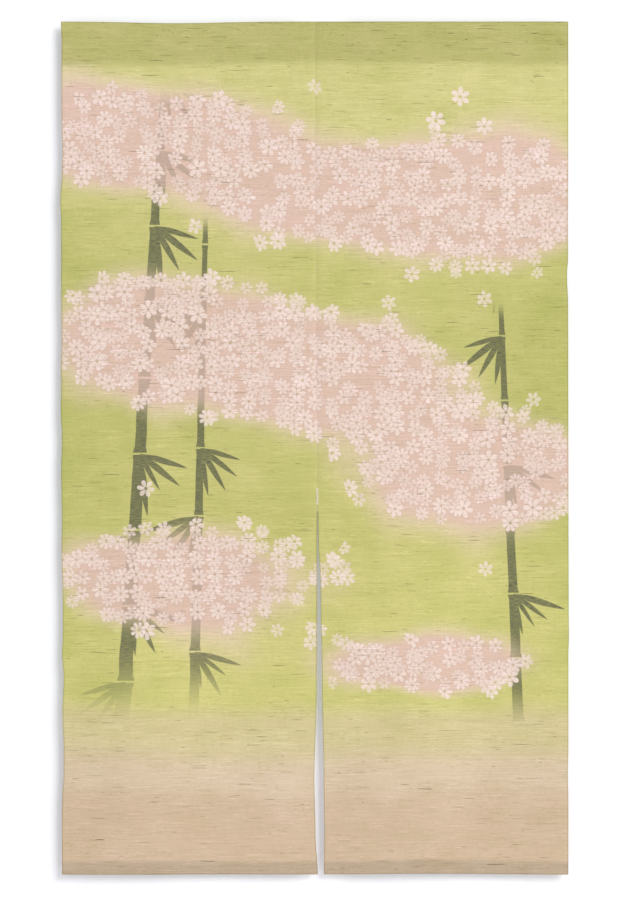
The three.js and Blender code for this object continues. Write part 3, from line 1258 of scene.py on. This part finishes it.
class NorenSizes(bpy.types.PropertyGroup):
    """Sizes of the curtain's cloth and sewing."""

    ply: length_property("Ply", "Thickness of one ply of hemp", 0.7 * MM)
    hem: length_property("Hem", "Height of the turned-up hem", 22 * MM)
    pocket_slack: length_property("Pocket Slack", "Stand-off of the pocket's back ply", 8.5 * MM)
    top_fold: length_property("Top Fold", "Radius of the fold along the top", 0.6 * MM)
    foot_fold: length_property("Foot Fold", "Radius of the fold along the foot", 0.55 * MM)
    seam_gap: length_property("Seam Gap", "Gap between the two widths at their seam", 0.3 * MM)
    seam_sink: length_property("Seam Sink", "How far the sewn edges sink at the seam", 1.1 * MM)
    gather: length_property("Gather", "Height of the gathers along the stitch lines", 0.7 * MM)
    cockle: length_property("Cockle", "Height of the cloth's slight unevenness", 0.6 * MM)
    mesh_step: length_property("Mesh Step", "Spacing of the cloth's points", 4.4 * MM)
    print_shift: length_property("Print Shift", "Mismatch of the print across the seam", 3 * MM)
    slub_shortest: length_property("Shortest Slub", "Length of the shortest slub", 1.8 * MM)
    slub_longest: length_property("Longest Slub", "Length of the longest slub", 36 * MM)
    slub_thickness: length_property("Slub Thickness", "Thickness of a slub", 0.95 * MM)
    slub_height: length_property("Slub Height", "How far a slub stands off the cloth, twice", 0.5 * MM)
    slub_density: bpy.props.FloatProperty(
        name="Slub Density", description="Slubs in a square metre of one side", default=3400.0, min=0.0
    )
    slub_dark_share: bpy.props.FloatProperty(
        name="Dark Slubs",
        description="Share of the slubs that are dark",
        default=0.6,
        min=0.0,
        max=1.0,
        subtype="FACTOR",
    )


class NorenColours(bpy.types.PropertyGroup):
    """Colours of the hemp, its print and its thread."""

    ground_high: colour_property("High Ground", "Dyed ground under the heading", (0.632, 0.598, 0.247))
    ground: colour_property("Ground", "Dyed ground at the middle", (0.556, 0.535, 0.190))
    ground_low: colour_property("Low Ground", "Dyed ground above the fade", (0.613, 0.584, 0.209))
    foot_high: colour_property("High Foot", "Bare hemp under the dyed ground", (0.695, 0.553, 0.394))
    foot: colour_property("Foot", "Bare hemp at the foot", (0.645, 0.490, 0.345))
    mist: colour_property("Mist", "Thin edges of the drifts of mist", (0.795, 0.600, 0.485))
    mist_core: colour_property("Mist Core", "Middle of the drifts of mist", (0.735, 0.522, 0.440))
    petal_line: colour_property("Petal Line", "Thin line round the petals", (0.615, 0.424, 0.360))
    petal: colour_property("Petal", "Daisy petals", (0.878, 0.728, 0.655))
    eye: colour_property("Eye", "Daisy eyes", (0.560, 0.440, 0.200))
    bamboo: colour_property("Bamboo", "Bamboo stalks and leaves", (0.098, 0.104, 0.066))
    slub: colour_property("Slub", "Dark stretches of yarn", (0.170, 0.130, 0.060))
    doubled_pocket: colour_property("Doubled Pocket", "Deepening of the pocket", (0.770, 0.775, 0.690))
    doubled_hem: colour_property("Doubled Hem", "Deepening of the hem", (0.796, 0.812, 0.820))
    thread: colour_property("Thread", "Sewing thread on the dyed ground", (0.600, 0.560, 0.230))
    thread_low: colour_property("Low Thread", "Sewing thread at the foot", (0.640, 0.490, 0.340))
    tack: colour_property("Tack", "Thread at the head of the slit", (0.900, 0.830, 0.780))


def curtain_piece(name, mesh, material):
    """A piece of the curtain that rides with the part."""
    piece = bpy.data.objects.new(name, mesh)
    bpy.context.scene.collection.objects.link(piece)
    if not mesh.materials:
        mesh.materials.append(material)
    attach(piece, "root")
    return piece


class NOREN_OT_cloth(bpy.types.Operator):
    """Make the two loom widths, each folded into its rod pocket and hem."""

    bl_idname = "noren.cloth"
    bl_label = "Loom Widths"

    def execute(self, context):
        sizes, colours = context.scene.noren_sizes, context.scene.noren_colours
        hang = Hang(sizes)
        cloth = hemp("printed_hemp", colours, sizes)
        for side in ("left", "right"):
            mesh = loom_width_mesh(f"loom_width_{side}", side, hang)
            piece = curtain_piece(f"loom_width_{side}", mesh, cloth)
            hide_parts(f"panel_{side}", f"heading_{side}")
        return {"FINISHED"}


class NOREN_OT_slubs(bpy.types.Operator):
    """Strew both sides of each loom width with the thick places of its yarn."""

    bl_idname = "noren.slubs"
    bl_label = "Slub Yarns"

    def execute(self, context):
        sizes = context.scene.noren_sizes
        tree = slub_tree()
        for number, side in enumerate(("left", "right")):
            cloth = bpy.data.objects[f"loom_width_{side}"].data
            for way, facing, strength in (("face", -1.0, FACE_PRINT), ("reverse", 1.0, REVERSE_PRINT)):
                values = {
                    "Facing": facing,
                    "Density": sizes.slub_density,
                    "Shortest": sizes.slub_shortest,
                    "Longest": sizes.slub_longest,
                    "Thickness": sizes.slub_thickness,
                    "Height": sizes.slub_height,
                    "Dark Share": sizes.slub_dark_share,
                    "Print Strength": strength,
                    "Seed": SLUB_SEED_STEP * number + int(facing) + SLUB_SEED,
                    "Material": cloth.materials[0],
                }
                name = f"slubs_{side}_{way}"
                curtain_piece(name, grown(name, cloth, tree, values), cloth.materials[0])
        return {"FINISHED"}


class NOREN_OT_stitches(bpy.types.Operator):
    """Sew the pocket, the hem, the centre seam and the head of the slit."""

    bl_idname = "noren.stitches"
    bl_label = "Stitches"

    def execute(self, context):
        hang, colours = Hang(context.scene.noren_sizes), context.scene.noren_colours
        threads = {
            "plain": thread("sewing_thread", colours.thread, colours.thread_low),
            "tack": thread("tack_thread", colours.tack, colours.tack),
        }
        tree = stitch_tree()
        for stitch in named(STITCH_COLUMNS, STITCHES):
            name, material = stitch["name"], threads[stitch["thread"]]
            values = {
                "Pitch": stitch["pitch"] * MM,
                "Length": stitch["length"] * MM,
                "Thread": stitch["girth"] * MM,
                "Slant": stitch["slant"],
                "Unevenness": STITCH_UNEVENNESS,
                "Seed": len(name),
                "Material": material,
            }
            mesh = grown(name, path_mesh(name, stitch["route"](hang)), tree, values)
            curtain_piece(name, mesh, material)
        return {"FINISHED"}


# The stage, in metres

# The light from all round, the floor under the curtain and the wall a little behind it
WORLD_STRENGTH = 0.52
FLOOR_GAP = 0.42
FLOOR_LEVEL = -DROP - FLOOR_GAP
FLOOR_REACH = 6
WALL_REACH = 3
WALL_TOP = 1.2
WALL_GAP = 0.0095
FLOOR_SURFACE = {"Base Color": (0.86, 0.85, 0.83, 1.0), "Roughness": 0.8}
WALL_SURFACE = {
    "Base Color": (0.92, 0.92, 0.945, 1.0),
    "Roughness": 1.0,
    "Specular IOR Level": 0.0,
    "Emission Strength": 1.0,
}

# The wall's faint glow, with painted light behind the slit that lightens the shadows of its two edges where
# they meet
WALL_GLOW = (0.126, 0.136, 0.160)
SLIT_PAINTED_LIGHT = (0.200, 0.211, 0.246)
SLIT_MIDDLE = 0.009
SLIT_GLOW_REACH = (0.06, 0.02)

# Limits that tell apart no diffuse bounce, one and more
NO_BOUNCE = 0.5
ONE_BOUNCE = 1.5

SOFTBOX_COLUMNS = ("name", "place", "size", "power")
SOFTBOXES = (
    ("key", (7.4, -11.2, 5.9), 6.6, 1245.0),
    ("back_fill", (-4.4, 6.4, 1.6), 5.0, 260.0),
)

# The photograph's frame, the curtain's width and the middle of its top fold there, in pixels
PHOTO_WIDTH = 640
PHOTO_HEIGHT = 900
CURTAIN_PIXELS = 506.5
TOP_PIXEL = (314.25, 21.5)
CAMERA_DISTANCE = 5.2
SENSOR_MM = 36.0


class NOREN_OT_stage(bpy.types.Operator):
    """Make the pale floor, the wall, the soft light and the camera."""

    bl_idname = "noren.stage"
    bl_label = "Stage"

    def execute(self, context):
        scene = context.scene
        scene.view_settings.view_transform = "Standard"
        scene.view_settings.look = "None"
        self.world(scene)
        self.floor(scene)
        self.wall(scene)
        for box in named(SOFTBOX_COLUMNS, SOFTBOXES):
            self.softbox(scene, **box)
        self.camera(scene)
        return {"FINISHED"}

    def world(self, scene):
        """Even white light from all round."""
        world = bpy.data.worlds.new("studio")
        world.use_nodes = True
        sky = world.node_tree.nodes["Background"]
        sky.inputs["Color"].default_value = (1.0, 1.0, 1.0, 1.0)
        sky.inputs["Strength"].default_value = WORLD_STRENGTH
        scene.world = world

    def plane(self, scene, name, corners, material):
        """A four-cornered plane of the stage."""
        mesh = bpy.data.meshes.new(name)
        mesh.from_pydata(corners, [], [(0, 1, 2, 3)])
        mesh.materials.append(material)
        obj = bpy.data.objects.new(name, mesh)
        scene.collection.objects.link(obj)
        return obj

    def floor(self, scene):
        """A plain pale floor under the curtain."""
        material, _ = new_material("pale_floor", FLOOR_SURFACE)
        sides = ((-1, -1), (1, -1), (1, 1), (-1, 1))
        corners = [(x * FLOOR_REACH, y * FLOOR_REACH, FLOOR_LEVEL) for x, y in sides]
        self.plane(scene, "floor", corners, material)

    def wall(self, scene):
        """A white wall close behind the cloth, which shows from the front alone.

        Light that falls straight on what is seen passes it, so it neither shades nor tints the cloth.
        """
        material, shader = new_material("white_wall", WALL_SURFACE)
        tree = material.node_tree
        x, _, _ = Wire.make(tree, "ShaderNodeTexCoord", output="Object").parts()
        # Painted light: the wall glows more behind the slit, lightening the shadow there
        beside_slit = abs(x - SLIT_MIDDLE).step(*SLIT_GLOW_REACH)
        feed(shader, {"Emission Color": blend(WALL_GLOW, SLIT_PAINTED_LIGHT, beside_slit)})
        behind = Wire.make(tree, "ShaderNodeNewGeometry", output="Backfacing")
        path = Wire.make(tree, "ShaderNodeLightPath")
        turns = path.out("Diffuse Depth")
        straight = path.out("Is Shadow Ray") * turns.under(NO_BOUNCE)
        straight = straight.most(path.out("Is Diffuse Ray") * turns.under(ONE_BOUNCE))
        clear = Wire.make(tree, "ShaderNodeBsdfTransparent")
        values = {0: behind.most(straight), 1: Wire(shader.outputs[0]), 2: clear}
        shown = Wire.make(tree, "ShaderNodeMixShader", None, values)
        tree.links.new(shown.socket, tree.nodes["Material Output"].inputs["Surface"])
        back = CAD_BOX[1].y + WALL_GAP
        sides = ((-1, FLOOR_LEVEL), (1, FLOOR_LEVEL), (1, WALL_TOP), (-1, WALL_TOP))
        corners = [(side * WALL_REACH, back, level) for side, level in sides]
        wall = self.plane(scene, "wall", corners, material)
        wall.visible_glossy = False
        wall.visible_transmission = False

    def softbox(self, scene, name, place, size, power):
        """A square soft light aimed at the middle of the curtain."""
        light = bpy.data.lights.new(name, "AREA")
        light.shape = "SQUARE"
        light.size = size
        light.energy = power
        lamp = bpy.data.objects.new(name, light)
        lamp.location = place
        aim = Vector((0.0, 0.0, -DROP / 2)) - lamp.location
        lamp.rotation_euler = aim.to_track_quat("-Z", "Y").to_euler()
        scene.collection.objects.link(lamp)

    def camera(self, scene):
        """A long lens straight before the cloth, framed as the photograph is."""
        pixel = 2 * LOOM_WIDTH / CURTAIN_PIXELS
        data = bpy.data.cameras.new("camera")
        data.sensor_width = SENSOR_MM
        data.lens = data.sensor_width * CAMERA_DISTANCE / (PHOTO_HEIGHT * pixel)
        eye = bpy.data.objects.new("camera", data)
        right = (PHOTO_WIDTH / 2 - TOP_PIXEL[0]) * pixel
        up = (TOP_PIXEL[1] - PHOTO_HEIGHT / 2) * pixel
        eye.location = (right, -CAMERA_DISTANCE, up)
        eye.rotation_euler = (math.radians(90), 0.0, 0.0)
        scene.collection.objects.link(eye)
        scene.camera = eye


class NOREN_PT_sidebar(bpy.types.Panel):
    """Buttons and settings for the curtain."""

    bl_label = "Noren"
    bl_idname = "NOREN_PT_sidebar"
    bl_space_type = "VIEW_3D"
    bl_region_type = "UI"
    bl_category = "Noren"

    def draw(self, context):
        for operator in OPERATORS:
            self.layout.operator(operator.bl_idname)
        for settings in (context.scene.noren_sizes, context.scene.noren_colours):
            column = self.layout.column(align=True)
            for key in settings.__annotations__:
                column.prop(settings, key)


OPERATORS = (NOREN_OT_cloth, NOREN_OT_slubs, NOREN_OT_stitches, NOREN_OT_stage)
CLASSES = (NorenSizes, NorenColours, *OPERATORS, NOREN_PT_sidebar)


def register():
    """Adds the classes and the scene's settings."""
    for cls in CLASSES:
        bpy.utils.register_class(cls)
    bpy.types.Scene.noren_sizes = bpy.props.PointerProperty(type=NorenSizes)
    bpy.types.Scene.noren_colours = bpy.props.PointerProperty(type=NorenColours)


def unregister():
    """Takes the settings and the classes away again."""
    del bpy.types.Scene.noren_colours
    del bpy.types.Scene.noren_sizes
    for cls in reversed(CLASSES):
        bpy.utils.unregister_class(cls)


def main():
    """Builds the curtain and its stage."""
    register()
    bpy.ops.noren.cloth()
    bpy.ops.noren.slubs()
    bpy.ops.noren.stitches()
    bpy.ops.noren.stage()


if __name__ == "__main__":
    main()
